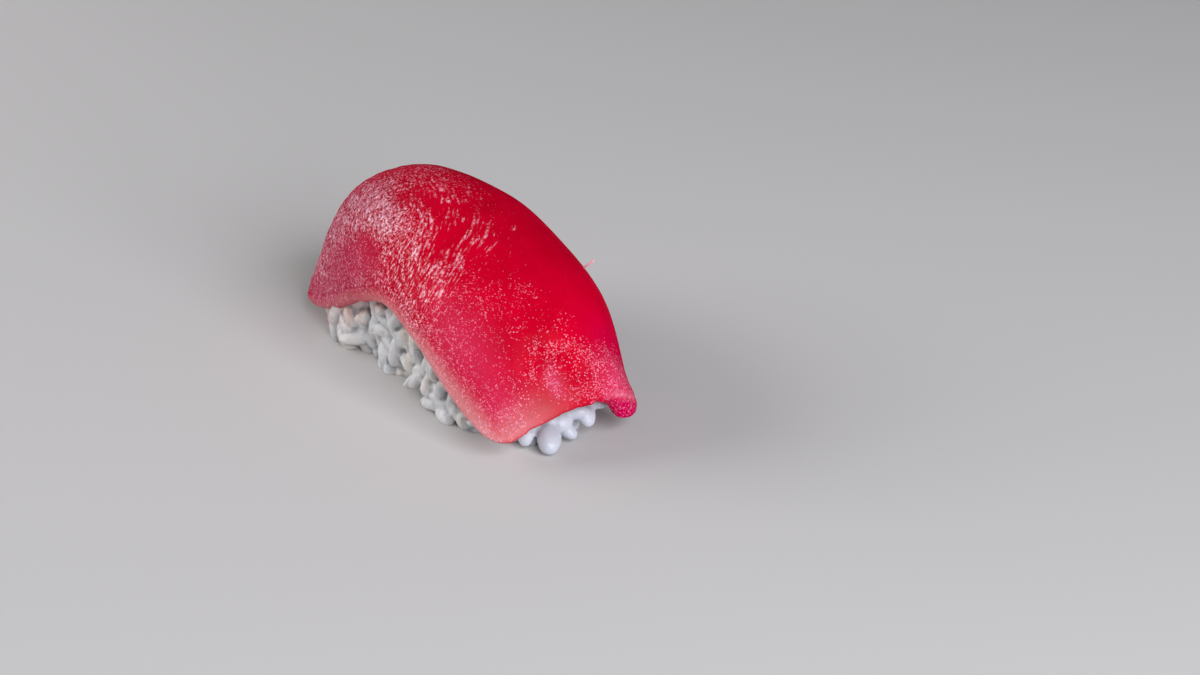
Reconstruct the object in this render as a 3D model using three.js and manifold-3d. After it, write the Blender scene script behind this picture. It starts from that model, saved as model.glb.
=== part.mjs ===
// Tuna nigiri: a thick slice of raw tuna draped over a hand-pressed block of rice.
// Millimetres, +Z up. The long way of the piece runs along X, from its far end at -X to its near
// end at +X. The origin is the middle of the rice's flat foot.
import * as THREE from 'three';
import { mergeVertices } from 'three/addons/utils/BufferGeometryUtils.js';
import Module from 'manifold-3d';

const wasm = await Module();
wasm.setup();

// ---- Driving dimensions ----

// The slice hangs on three rails, each a smooth curve through seven places from the far end to the
// near end: its two long lower edges and the crest between them.
const leftRail = [
  [-36.5, -16.3, 0.8], [-23, -17.5, 6], [-10, -17.5, 12.5], [2, -17.5, 16.5],
  [14, -17.5, 14], [26, -16.5, 8], [38, -14.2, 2.3],
];
const crestRail = [
  [-41, -5, 9], [-33.5, -3.5, 23.5], [-21, -2.5, 32], [-5, -1.5, 34],
  [13, 0, 30.5], [29.5, 2, 23.5], [40, 4.5, 9.5],
];
const rightRail = [
  [-32.5, 13.5, 4.5], [-21, 15.5, 8.5], [-9, 17.2, 12], [3, 17.8, 14],
  [15, 17.8, 13], [26, 15.7, 8.5], [33.3, 14, 4],
];
const sliceSpan = { length: 90, halfWidth: 27 }; // over the slice: end to end, and crest to edge
const flankTurn = { middle: 92, end: 70 };       // degrees that a cross-section turns, crest to edge
const sliceThickness = { middle: 5.5, edge: 3 };
const edgeRound = 1.6;                           // how far in from a cut edge its rounding reaches
const topShare = 0.35;                           // share of an edge's rounding on the upper face

// Broad swellings (+) and hollows (-) of the slice: where they are along (0 far, 1 near) and
// across (-1 left edge, 0 crest, 1 right edge), how far they reach each way, and their height.
const swellings = [
  { name: 'right shoulder', along: 0.8, across: 0.5, reach: [0.1, 0.3], height: 1.1 },
  { name: 'near knuckle', along: 0.955, across: 0.3, reach: [0.035, 0.22], height: 0.9 },
  { name: 'near fold', along: 0.92, across: -0.3, reach: [0.05, 0.1], height: -0.7 },
  { name: 'near dimple', along: 0.94, across: -0.08, reach: [0.025, 0.1], height: -0.4 },
  { name: 'far flank', along: 0.3, across: -0.55, reach: [0.1, 0.22], height: 0.5 },
];
// The near right corner flares out into a lip: where it starts, along and across, how far its face
// moves, how much further its underside moves, and the underside's corner beyond that.
const lip = {
  along: 0.9, across: [0, 0.4], push: [0.9, 0.6, 0.5], drop: [2.4, -0.6, -2.9],
  side: [0.2, 3.9, 0.3], sideFrom: 0.45, thicker: 0.8,
};
// The other corners are rounded off: how far they come in, as shares of the half length and width.
const cornerPull = { along: 0.055, across: 0.09 };

const riceGap = 0.3;                             // between the rice and the slice's underside
const rice = { centre: [0, -0.5], halfLength: 31.5, halfWidth: 12, squareness: 4.5, taper: 0.06 };
const riceWall = [                               // height, share of the foot's size
  [0, 0.96], [1.6, 0.99], [5, 1], [11, 0.99], [18, 0.95], [25, 0.82], [30, 0.55],
];
// Where the pressed block swells out in a clump (+) or falls short (-): place, reach and how far.
const riceClumps = [
  { at: [-22, -13], reach: 8, out: 3.6 },
  { at: [-17.5, -14], reach: 2.5, out: 0.8 },
  { at: [-13, -13], reach: 3, out: -1 },
  { at: [-7.5, -13], reach: 2.5, out: 0.8 },
  { at: [14.5, -13], reach: 4, out: 1.6 },
  { at: [31, 10], reach: 6, out: -3 },
  { at: [31, -12], reach: 6, out: -2.5 },
  { at: [-8, 12], reach: 7, out: 1.2 },
  { at: [20, 11], reach: 5, out: 0.8 },
];
const grain = { length: 6.6, width: 3.3, thickness: 2.9, bluntness: 0.7 };
const grainRows = { first: 1.5, step: 3, count: 6, pitch: 5.3 };
// How far each draw moves a grain: along its row (in pitches), up, and out from the wall; how far it
// may tilt (radians) and point outward; and how much its length and width differ.
const grainSpread = {
  along: 0.5, up: 1.4, out: [-0.46, 0.84], tilt: 2.6, outward: 0.7, longer: [0.9, 1.1], wider: [0.92, 1.08],
};
const keptShare = 0.45;                          // a grain cut shorter than this is left out
// Grains that stand clear of the block at the near end: the middle of each, which way it points
// (degrees round Z, then down from level) and its length and width against the others.
const nearGrains = [
  { at: [35.4, -2.8, 2.3], turn: -29, dip: 18, size: [1.15, 1.3] },
  { at: [33.3, 1, 2.2], turn: 18, dip: 14, size: [0.95, 0.95] },
  { at: [33.4, 5.2, 4.4], turn: -16, dip: 28, size: [1, 1] },
  { at: [32.6, -5.6, 3.2], turn: -40, dip: 45, size: [0.95, 0.95] },
  { at: [33.2, 2.4, 4.8], turn: 62, dip: -5, size: [1.05, 1.05] },
];

const sliceSteps = { along: 28, across: 20, even: 0.55 }; // even: share of steps not crowded to edges
const ringSteps = 40;
const grainSteps = { around: 5, along: 4 };

// ---- Small helpers ----

const clamp01 = (x) => Math.min(1, Math.max(0, x));
const smooth = (low, high, x) => {
  const u = clamp01((x - low) / (high - low));
  return u * u * (3 - 2 * u);
};
// A repeatable draw from 0 to 1 for the n-th grain; k tells its draws apart.
const draw = (n, k) => {
  const wave = Math.sin(n * 12.9898 + k * 78.233) * 43758.5453;
  return wave - Math.floor(wave);
};
const curveThrough = (places) => new THREE.CatmullRomCurve3(
  places.map((p) => new THREE.Vector3(...p)), false, 'catmullrom', 0.5);

function meshFromGrid(positions, faces) {
  const geometry = new THREE.BufferGeometry();
  geometry.setAttribute('position', new THREE.Float32BufferAttribute(positions, 3));
  geometry.setIndex(faces);
  return mergeVertices(geometry, 1e-4);
}

function toSolid(geometry) {
  const bare = geometry.clone();
  bare.deleteAttribute('normal');
  bare.deleteAttribute('uv');
  const merged = mergeVertices(bare, 1e-4);
  return new wasm.Manifold(new wasm.Mesh({
    numProp: 3,
    vertProperties: new Float32Array(merged.attributes.position.array),
    triVerts: new Uint32Array(merged.index.array),
  }));
}

function toGeometry(solid) {
  const { vertProperties, triVerts } = solid.getMesh();
  const geometry = new THREE.BufferGeometry();
  geometry.setAttribute('position', new THREE.Float32BufferAttribute(vertProperties, 3));
  geometry.setIndex([...triVerts]);
  return geometry;
}

// The largest loose body of a solid. Sealed hollows are shells of their own, so they fill up.
const largestBody = (solid) => solid.decompose().sort((a, b) => b.volume() - a.volume())[0];

// ---- The slice ----

const rails = {
  left: curveThrough(leftRail),
  crest: curveThrough(crestRail),
  right: curveThrough(rightRail),
};

// A rail's place at s, carried on straight past its ends.
function railPoint(rail, s) {
  const inside = clamp01(s);
  const place = rail.getPoint(inside);
  if (inside === s) return place;
  const step = 0.01;
  const before = rail.getPoint(inside === 0 ? step : 1 - step);
  return place.addScaledVector(place.clone().sub(before), Math.abs(s - inside) / step);
}

// Rounded corners: the ends come in by the tenth power of the way across, and the long edges by
// the fourteenth power of the way along.
function roundedPlace(s, t) {
  const u = 2 * s - 1;
  const kept = u > 0 && t > 0 ? 0 : 1;
  return [
    0.5 + 0.5 * u * (1 - kept * cornerPull.along * t ** 10),
    t * (1 - kept * cornerPull.across * u ** 14),
  ];
}

// How far a place has gone over to the lip, 0 to 1.
const flareAt = (s, t) => clamp01((s - lip.along) / (1 - lip.along)) ** 2 * smooth(...lip.across, t);

// The draped face: each cross-section runs from the crest to an edge on an elliptic arc.
function drapePoint(wholeS, wholeT) {
  const [s, t] = roundedPlace(wholeS, wholeT);
  const crest = railPoint(rails.crest, s);
  const edge = railPoint(t < 0 ? rails.left : rails.right, s);
  const ends = Math.abs(2 * clamp01(s) - 1) ** 1.5;
  const turn = THREE.MathUtils.degToRad(flankTurn.middle + (flankTurn.end - flankTurn.middle) * ends);
  const outward = Math.sin(Math.abs(t) * turn) / Math.sin(turn);
  const downward = (1 - Math.cos(t * turn)) / (1 - Math.cos(turn));
  const place = new THREE.Vector3(
    crest.x + (edge.x - crest.x) * downward,
    crest.y + (edge.y - crest.y) * outward,
    crest.z + (edge.z - crest.z) * downward,
  );
  return place.addScaledVector(new THREE.Vector3(...lip.push), flareAt(s, t));
}

function drapeNormal(s, t) {
  const step = 0.004;
  const along = drapePoint(s + step, t).sub(drapePoint(s - step, t));
  const across = drapePoint(s, t + step).sub(drapePoint(s, t - step));
  return along.cross(across).normalize();
}

function reliefAt(s, t) {
  return swellings.reduce((sum, w) => {
    const far = ((s - w.along) / w.reach[0]) ** 2 + ((t - w.across) / w.reach[1]) ** 2;
    return sum + w.height * Math.exp(-far);
  }, 0);
}

// 0 at a cut edge, then a quarter circle up to 1 at edgeRound from it.
function edgeRise(distance) {
  const u = 1 - clamp01(distance / edgeRound);
  return Math.sqrt(1 - u * u);
}

// Step i of count, from 0 to 1, closer together near both ends.
function crowdedStep(i, count) {
  const crowded = 0.5 - 0.5 * Math.cos((Math.PI * i) / count);
  return crowded * (1 - sliceSteps.even) + (i / count) * sliceSteps.even;
}

// The slice as a closed body, or, with grow, the same body that much larger all round. The depth
// says how far down through the slice a place lies, and carries the lip's own moves.
function sliceGeometry(grow = 0) {
  const { length, halfWidth } = sliceSpan;
  const { along, across } = sliceSteps;
  const upper = [];
  const lower = [];
  for (let i = 0; i <= along; i++) {
    const sIn = crowdedStep(i, along);
    const s = sIn + (sIn - 0.5) * 2 * (grow / length);
    for (let j = 0; j <= across; j++) {
      const tIn = 2 * crowdedStep(j, across) - 1;
      const t = tIn * (1 + grow / halfWidth);
      const rise = edgeRise(Math.min(sIn, 1 - sIn) * length) *
        edgeRise((1 - Math.abs(tIn)) * halfWidth);
      const middle = (1 - (2 * sIn - 1) ** 4) * (1 - tIn ** 4);
      const flare = flareAt(sIn, tIn);
      const thickness = sliceThickness.edge + lip.thicker * flare +
        (sliceThickness.middle - sliceThickness.edge) * middle;
      const place = drapePoint(s, t);
      const normal = drapeNormal(s, t);
      const relief = reliefAt(sIn, tIn);
      const lipMove = new THREE.Vector3(...lip.drop)
        .addScaledVector(new THREE.Vector3(...lip.side), smooth(lip.sideFrom, 1, tIn))
        .multiplyScalar(flare);
      const upperDepth = topShare * (1 - rise);
      const lowerDepth = topShare + (1 - topShare) * rise;
      const inside = rise > 0 ? 1 : 0;
      upper.push(...place.clone()
        .addScaledVector(normal, relief - thickness * upperDepth + grow * inside)
        .addScaledVector(lipMove, upperDepth));
      lower.push(...place.clone()
        .addScaledVector(normal, relief * (1 - inside / 2) - thickness * lowerDepth - grow * inside)
        .addScaledVector(lipMove, lowerDepth));
    }
  }
  const faces = [];
  const stride = across + 1;
  const half = upper.length / 3;
  for (let i = 0; i < along; i++) {
    for (let j = 0; j < across; j++) {
      const a = i * stride + j;
      const b = a + stride;
      faces.push(a, b, b + 1, a, b + 1, a + 1);
      faces.push(half + a, half + b + 1, half + b, half + a, half + a + 1, half + b + 1);
    }
  }
  return meshFromGrid([...upper, ...lower], faces);
}

// ---- The rice ----

// A place on the block's wall at a height; the angle says how far round its foot it is.
function wallPoint(angle, height, out = 0) {
  let k = 0;
  while (k < riceWall.length - 2 && height > riceWall[k + 1][0]) k++;
  const [z0, share0] = riceWall[k];
  const [z1, share1] = riceWall[k + 1];
  const share = share0 + ((share1 - share0) * (height - z0)) / (z1 - z0);
  const corner = (v) => Math.sign(v) * Math.abs(v) ** (2 / rice.squareness);
  const alongShare = corner(Math.cos(angle));
  const place = new THREE.Vector3(
    rice.centre[0] + alongShare * rice.halfLength * share,
    rice.centre[1] + corner(Math.sin(angle)) * rice.halfWidth * (1 - rice.taper * alongShare) * share,
    height,
  );
  const swell = riceClumps.reduce((sum, c) => {
    const apart = Math.hypot(place.x - c.at[0], place.y - c.at[1]);
    return sum + c.out * Math.exp(-((apart / c.reach) ** 2));
  }, out);
  const away = new THREE.Vector3(
    Math.sign(place.x) * Math.abs(alongShare) ** 6, Math.sin(angle), 0).normalize();
  return place.addScaledVector(away, swell);
}

function riceCoreGeometry() {
  const positions = [];
  const faces = [];
  riceWall.forEach(([height]) => {
    for (let i = 0; i < ringSteps; i++) {
      positions.push(...wallPoint((2 * Math.PI * i) / ringSteps, height));
    }
  });
  for (let k = 0; k < riceWall.length - 1; k++) {
    for (let i = 0; i < ringSteps; i++) {
      const a = k * ringSteps + i;
      const b = k * ringSteps + ((i + 1) % ringSteps);
      faces.push(a, b, b + ringSteps, a, b + ringSteps, a + ringSteps);
    }
  }
  const lowCap = positions.length / 3;
  const topRing = (riceWall.length - 1) * ringSteps;
  positions.push(...rice.centre, 0, ...rice.centre, riceWall.at(-1)[0]);
  for (let i = 0; i < ringSteps; i++) {
    const next = (i + 1) % ringSteps;
    faces.push(lowCap, next, i, lowCap + 1, topRing + i, topRing + next);
  }
  return meshFromGrid(positions, faces);
}

// One grain: a blunt spindle along its own X, pointed along a direction and centred on a place.
function grainSolid(place, direction, [longer, wider]) {
  const shape = new THREE.SphereGeometry(1, grainSteps.around, grainSteps.along);
  shape.rotateZ(Math.PI / 2);
  const points = shape.attributes.position;
  for (let i = 0; i < points.count; i++) {
    const radius = Math.hypot(points.getY(i), points.getZ(i));
    const blunt = radius > 1e-6 ? radius ** (grain.bluntness - 1) : 0;
    points.setXYZ(i, points.getX(i), points.getY(i) * blunt, points.getZ(i) * blunt);
  }
  shape.scale(grain.length * longer * 0.5, grain.width * wider * 0.5, grain.thickness * wider * 0.5);
  const turn = new THREE.Quaternion().setFromUnitVectors(new THREE.Vector3(1, 0, 0), direction);
  shape.applyQuaternion(turn);
  shape.translate(place.x, place.y, place.z);
  return toSolid(shape);
}

// The slice's outline from above, as places along its four sides.
const sliceOutline = [...Array(41).keys()].flatMap((i) => {
  const s = i / 40;
  return [drapePoint(s, -1), drapePoint(s, 1), drapePoint(0, 2 * s - 1), drapePoint(1, 2 * s - 1)];
});

// Whether the slice's nearest edge hangs well below a place, so that nothing there shows.
function isHidden(place) {
  const apart = (p) => Math.hypot(p.x - place.x, p.y - place.y);
  const nearest = sliceOutline.reduce((best, p) => (apart(p) < apart(best) ? p : best));
  return place.z > nearest.z;
}

// The angle at which the foot's outline has run a given share of its length, because even steps
// round an oblong need most of the angle spent on its corners.
const outlineHeight = 5;
const outlineTable = (() => {
  const steps = 720;
  const lengths = [0];
  for (let i = 1; i <= steps; i++) {
    const before = wallPoint((2 * Math.PI * (i - 1)) / steps, outlineHeight);
    const after = wallPoint((2 * Math.PI * i) / steps, outlineHeight);
    lengths.push(lengths[i - 1] + before.distanceTo(after));
  }
  return lengths;
})();
function evenAngle(share) {
  const wanted = (share - Math.floor(share)) * outlineTable.at(-1);
  const i = Math.max(1, outlineTable.findIndex((reached) => reached >= wanted));
  const part = (wanted - outlineTable[i - 1]) / (outlineTable[i] - outlineTable[i - 1]);
  return (2 * Math.PI * (i - 1 + part)) / (outlineTable.length - 1);
}

// Grains lie in rows round the block's wall, every other row set half a pitch on.
function wallGrains() {
  const grains = [];
  const perRow = Math.round(outlineTable.at(-1) / grainRows.pitch);
  const nearby = 0.05;                           // radians, for the wall's direction
  for (let row = 0; row < grainRows.count; row++) {
    for (let i = 0; i < perRow; i++) {
      const n = row * perRow + i + 1;
      const between = (k, low, high) => low + (high - low) * draw(n, k);
      const stray = between(1, -0.5, 0.5) * grainSpread.along;
      const angle = evenAngle((i + (row % 2) / 2 + stray) / perRow);
      const height = grainRows.first + row * grainRows.step + between(2, -0.5, 0.5) * grainSpread.up;
      const place = wallPoint(angle, height, between(3, ...grainSpread.out));
      if (isHidden(place)) continue;
      const ahead = wallPoint(angle + nearby, height).sub(wallPoint(angle - nearby, height)).normalize();
      const outward = new THREE.Vector3(ahead.y, -ahead.x, 0);
      const tilt = between(4, -0.5, 0.5) * grainSpread.tilt;
      const direction = ahead.multiplyScalar(Math.cos(tilt))
        .addScaledVector(new THREE.Vector3(0, 0, 1), Math.sin(tilt))
        .addScaledVector(outward, between(5, -0.5, 0.5) * grainSpread.outward)
        .normalize();
      const size = [between(6, ...grainSpread.longer), between(7, ...grainSpread.wider)];
      grains.push(grainSolid(place, direction, size));
    }
  }
  return grains;
}

function standingGrains() {
  return nearGrains.map(({ at, turn, dip, size }) => {
    const round = THREE.MathUtils.degToRad(turn);
    const down = THREE.MathUtils.degToRad(dip);
    const direction = new THREE.Vector3(
      Math.cos(round) * Math.cos(down), Math.sin(round) * Math.cos(down), -Math.sin(down));
    return grainSolid(new THREE.Vector3(...at), direction, size);
  });
}

function riceGeometry() {
  const keepOut = toSolid(sliceGeometry(riceGap));
  const belowFoot = { width: 200, depth: 20 };   // everything under the foot is cut away
  const floor = new THREE.BoxGeometry(belowFoot.width, belowFoot.width, belowFoot.depth);
  floor.translate(0, 0, -belowFoot.depth / 2);
  let block = largestBody(toSolid(riceCoreGeometry()).subtract(keepOut));
  for (const whole of [...wallGrains(), ...standingGrains()]) {
    const left = largestBody(whole.subtract(keepOut));
    if (left && left.volume() > keptShare * whole.volume()) block = block.add(left);
  }
  return toGeometry(largestBody(block.subtract(toSolid(floor))));
}

// ---- The piece ----

const tunaFlesh = new THREE.MeshStandardMaterial({ color: 0xc4122f, roughness: 0.35, metalness: 0 });
const cookedRice = new THREE.MeshStandardMaterial({ color: 0xe6e4dd, roughness: 0.45, metalness: 0 });

function part(name, geometry, material) {
  const mesh = new THREE.Mesh(geometry, material);
  mesh.name = name;
  return mesh;
}

const nigiri = new THREE.Group();
nigiri.add(
  part('rice_block', riceGeometry(), cookedRice),
  part('tuna_slice', sliceGeometry(), tunaFlesh),
);

export default nigiri;
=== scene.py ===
import itertools
import math
import bpy
import numpy as np
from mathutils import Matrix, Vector


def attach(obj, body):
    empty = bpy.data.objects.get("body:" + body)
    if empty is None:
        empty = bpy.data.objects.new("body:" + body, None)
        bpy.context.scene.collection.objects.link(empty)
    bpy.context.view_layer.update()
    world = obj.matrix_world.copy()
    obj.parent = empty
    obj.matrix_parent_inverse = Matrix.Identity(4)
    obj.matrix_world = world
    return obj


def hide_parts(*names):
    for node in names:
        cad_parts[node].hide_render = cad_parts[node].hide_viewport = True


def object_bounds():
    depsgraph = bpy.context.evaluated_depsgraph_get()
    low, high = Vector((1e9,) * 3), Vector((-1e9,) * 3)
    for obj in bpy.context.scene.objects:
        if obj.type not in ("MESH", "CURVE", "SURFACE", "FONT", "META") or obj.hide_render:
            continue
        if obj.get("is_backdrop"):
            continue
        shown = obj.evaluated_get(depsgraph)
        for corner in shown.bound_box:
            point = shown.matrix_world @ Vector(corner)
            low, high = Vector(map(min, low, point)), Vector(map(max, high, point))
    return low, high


# A tuna nigiri: a thick slice of raw tuna draped over a hand-pressed block of cooked rice.
# Lengths in the dictionaries are millimetres. Meshes are made in metres, in the frame's own axes:
# +Z up, +X along the piece to its near end.
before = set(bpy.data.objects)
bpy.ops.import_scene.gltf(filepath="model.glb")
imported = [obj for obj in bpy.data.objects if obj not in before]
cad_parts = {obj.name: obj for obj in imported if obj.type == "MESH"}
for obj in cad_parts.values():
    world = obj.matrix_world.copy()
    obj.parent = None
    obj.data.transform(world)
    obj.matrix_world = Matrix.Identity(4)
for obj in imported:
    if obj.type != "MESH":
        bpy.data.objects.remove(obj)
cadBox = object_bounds()
print("frame loaded:", ", ".join(sorted(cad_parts)))

mm = 0.001


# sRGB hex to linear colour: a straight line up to 0.04045, a power of 2.4 above it.
def linearColour(hexCode):
    parts = [int(hexCode[i:i + 2], 16) / 255 for i in (1, 3, 5)]
    return [v / 12.92 if v <= 0.04045 else ((v + 0.055) / 1.055) ** 2.4 for v in parts] + [1.0]


# Adds a node: settings are its own properties, inputs are values or the sockets that feed it.
def addNode(tree, kind, settings=None, inputs=None):
    node = tree.nodes.new(kind)
    for name, value in (settings or {}).items():
        setattr(node, name, value)
    for name, value in (inputs or {}).items():
        if isinstance(value, bpy.types.NodeSocket):
            tree.links.new(value, node.inputs[name])
        else:
            node.inputs[name].default_value = value
    return node


# An empty material and its node tree.
def newMaterial(name):
    material = bpy.data.materials.new(name)
    material.use_nodes = True
    material.node_tree.nodes.clear()
    return material, material.node_tree


# Ends a material: a surface with the given inputs, and the output that it feeds.
def addSurface(tree, inputs):
    shader = addNode(tree, "ShaderNodeBsdfPrincipled", None, inputs)
    addNode(tree, "ShaderNodeOutputMaterial", None, {"Surface": shader.outputs["BSDF"]})


# The values that a mesh carries under these names.
def carriedValues(tree, names):
    return {name: addNode(tree, "ShaderNodeAttribute", {"attribute_name": name}).outputs["Fac"]
            for name in names}


# Short makers of the nodes that recur, tied to one tree: noise of a size in metres, a mix of two
# colours, one step of arithmetic, and a bump of a height in metres.
def nodeMakers(tree):
    def noise(where, size, detail, roughness=0.5, distortion=0.0, output="Fac"):
        return addNode(tree, "ShaderNodeTexNoise", None, {
            "Vector": where, "Scale": 1 / size, "Detail": detail, "Roughness": roughness,
            "Distortion": distortion}).outputs[output]

    def mixed(share, under, over):
        under, over = (linearColour(c) if isinstance(c, str) else c for c in (under, over))
        return addNode(tree, "ShaderNodeMix", {"data_type": "RGBA"}, {
            "Factor": share, "A": under, "B": over}).outputs["Result"]

    def maths(operation, one, two, three=0.0, clamp=False):
        node = addNode(tree, "ShaderNodeMath", {"operation": operation, "use_clamp": clamp})
        for socket, value in zip(node.inputs, (one, two, three)):
            if isinstance(value, bpy.types.NodeSocket):
                tree.links.new(value, socket)
            else:
                socket.default_value = value
        return node.outputs[0]

    def bumped(height, distance):
        return addNode(tree, "ShaderNodeBump", None, {
            "Height": height, "Strength": 1.0, "Distance": distance}).outputs["Normal"]

    return noise, mixed, maths, bumped


# 0 below low, 1 above high, and a smooth S between them.
def smoothStep(low, high, x):
    u = np.clip((x - low) / (high - low), 0, 1)
    return u * u * (3 - 2 * u)


# Vectors divided by their lengths.
def unit(vectors):
    return vectors / np.linalg.norm(vectors, axis=-1, keepdims=True)


# Angles spread evenly round a circle.
def evenTurns(count):
    return np.linspace(0, 2 * math.pi, count, endpoint=False)


# Smooth noise from -1 to 1: a fixed draw at each corner of a unit lattice, blended over the cell.
def softNoise(places, seed):
    cell = np.floor(places).astype(np.int64)
    part = places - cell
    part = part ** 3 * (part * (part * 6 - 15) + 10)
    total = np.zeros(places.shape[:-1])
    for corner in itertools.product((0, 1), repeat=3):
        at = cell + np.array(corner)
        key = at[..., 0] * 73856093 ^ at[..., 1] * 19349663 ^ at[..., 2] * 83492791 ^ seed * 7919
        key = (key ^ (key >> 13)) * 1274126177
        drawn = ((key ^ (key >> 16)) & 0xFFFF) / 32767.5 - 1
        total += drawn * np.prod(np.where(np.array(corner) == 1, part, 1 - part), axis=-1)
    return total


# The quads of a grid of rows by columns, numbered row by row.
def gridFaces(rows, columns, closeRows=False):
    index = np.arange(rows * columns).reshape(rows, columns)
    if closeRows:
        index = np.concatenate([index, index[:, :1]], axis=1)
    return np.stack([index[:-1, :-1], index[1:, :-1], index[1:, 1:], index[:-1, 1:]], -1).reshape(-1, 4)


# A stack of rings, closed at each end onto one place. The two places are numbered after the rings.
# Turned, its faces look the other way.
def tubeFaces(rings, around, turned=False):
    turn = np.arange(around)
    after = (turn + 1) % around
    poles = rings * around
    last = poles - around
    walls = gridFaces(rings, around, closeRows=True)
    caps = np.vstack([np.stack([np.full(around, poles), turn, after], -1),
                      np.stack([np.full(around, poles + 1), last + after, last + turn], -1)])
    return [walls[:, ::-1], caps[:, [0, 2, 1]]] if turned else [walls, caps]


# A mesh object from an array of places in millimetres and arrays of faces.
def makeObject(name, places, faces, material=None):
    mesh = bpy.data.meshes.new(name)
    mesh.from_pydata((np.asarray(places) * mm).tolist(), [], [f for part in faces for f in part.tolist()])
    mesh.validate()
    mesh.shade_smooth()
    if material:
        mesh.materials.append(material)
    made = bpy.data.objects.new(name, mesh)
    bpy.context.scene.collection.objects.link(made)
    return made


# Gives each vertex its own value under a name that a material can read.
def addPointValues(mesh, name, values):
    layer = mesh.attributes.new(name, "FLOAT", "POINT")
    layer.data.foreach_set("value", np.ascontiguousarray(values, dtype=np.float32).ravel())


# The places of a mesh's vertices, or their normals.
def vertexArray(mesh, what="co"):
    values = np.empty(len(mesh.vertices) * 3, dtype=np.float32)
    mesh.vertices.foreach_get(what, values)
    return values.reshape(-1, 3).astype(float)


# The numbers of the vertices at each edge's two ends.
def edgeEnds(mesh):
    ends = np.empty(len(mesh.edges) * 2, dtype=np.int32)
    mesh.edges.foreach_get("vertices", ends)
    return ends.reshape(-1, 2).T


# Puts a modifier's result into the object's own mesh.
def applyModifier(made, kind, **settings):
    modifier = made.modifiers.new(kind, kind)
    for name, value in settings.items():
        setattr(modifier, name, value)
    seen = made.evaluated_get(bpy.context.evaluated_depsgraph_get())
    old = made.data
    mesh = bpy.data.meshes.new_from_object(seen)
    made.modifiers.clear()
    made.data = mesh
    bpy.data.meshes.remove(old)


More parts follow.
